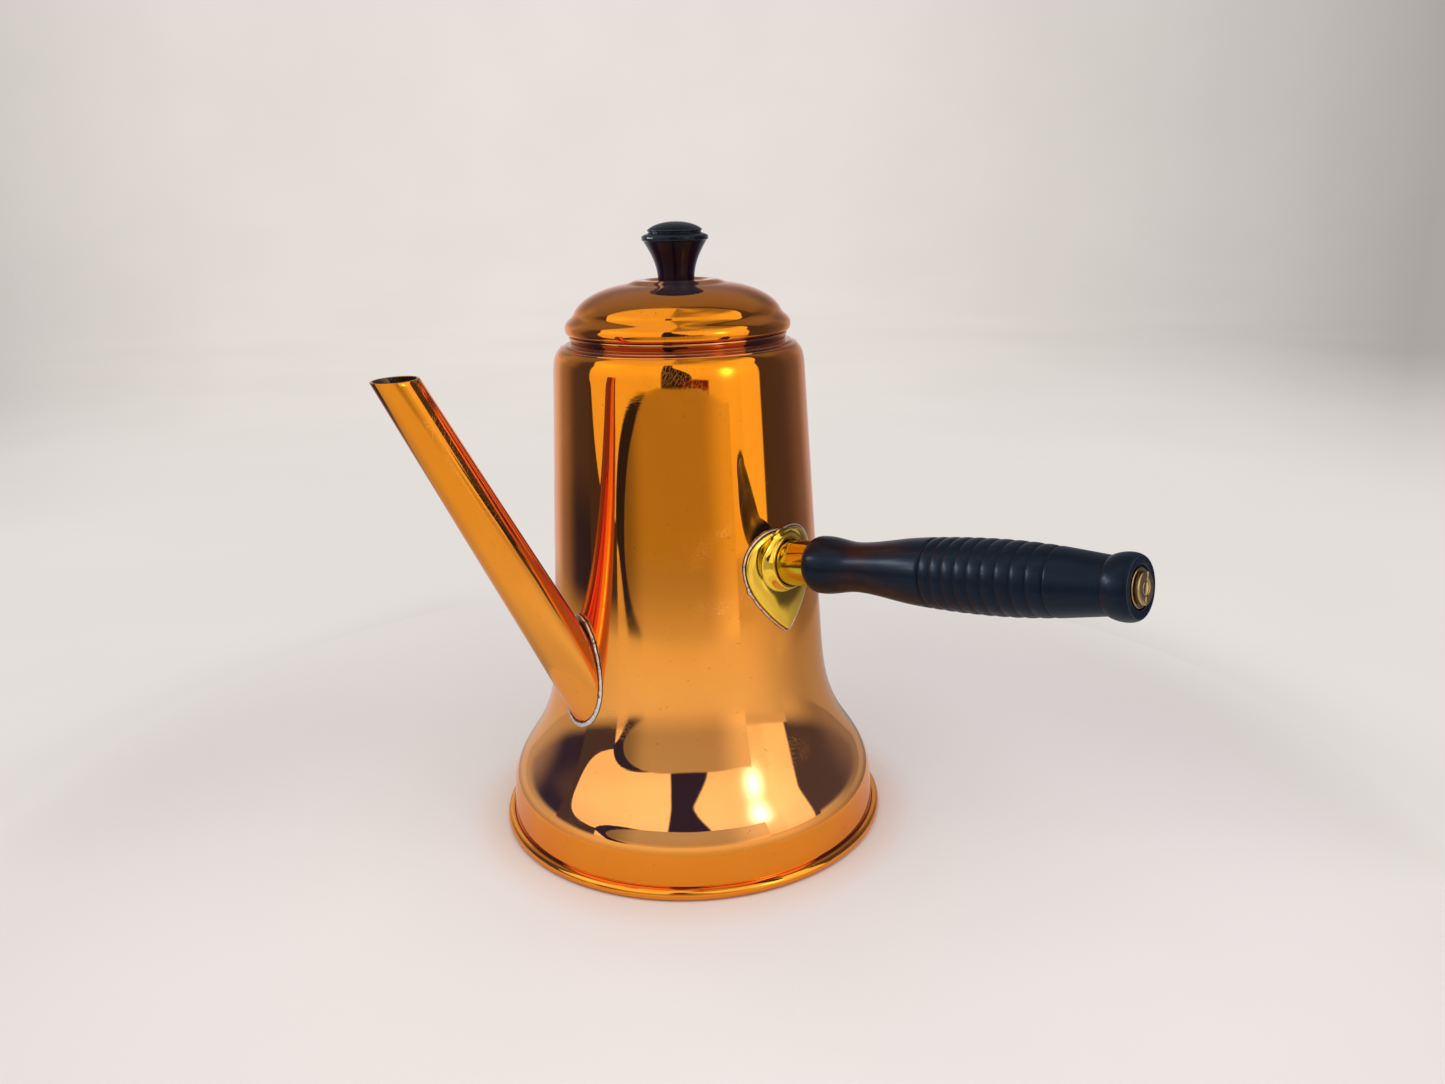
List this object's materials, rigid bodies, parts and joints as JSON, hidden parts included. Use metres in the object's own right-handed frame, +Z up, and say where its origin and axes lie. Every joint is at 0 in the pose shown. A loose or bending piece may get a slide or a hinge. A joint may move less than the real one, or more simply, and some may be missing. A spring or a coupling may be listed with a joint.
{
  "type": "side-handled coffee pot",
  "caption": "Tall bell-based copper coffee pot with a long straight slanted spout, a lift-off domed lid with a turned knob, and a turned wooden side handle.",
  "frame": {"origin": "centre of the round base, on the plane that it rests on", "axes": "+Z up the pot's axis, +X along the spout, the handle stands out close to +Y"},
  "size_m": [0.2149, 0.2813, 0.25],
  "materials": {
    "copper": "mirror polished and lacquered copper",
    "solder": "silvery tin solder, slightly rough",
    "brass": "polished yellow brass",
    "steel": "plain steel",
    "grip_wood": "turned wood, stained near black, semi-gloss",
    "knob": "glossy, near black with a red-brown tinge"
  },
  "bodies": {
    "pot": {"pot_shell": "copper", "base_pan": "copper", "base_rim_wire": "steel", "base_seam_solder": "solder", "spout_tube": "copper", "spout_solder": "solder", "handle_plate": "brass", "plate_solder": "solder", "handle_socket": "brass", "socket_plug": "brass", "tie_rod": "steel", "handle_grip": "grip_wood", "end_washer": "brass", "end_nut": "brass"},
    "lid": {"lid_shell": "copper", "lid_collar": "copper", "collar_solder": "solder", "lid_knob": "knob", "knob_insert": "brass", "knob_washer": "steel", "knob_screw": "steel"}
  },
  "joints": [
    {"name": "lid_lift", "type": "slide", "parent": "pot", "child": "lid", "axis": [0, 0, 1], "range_m": [0, 0.07]}
  ]
}
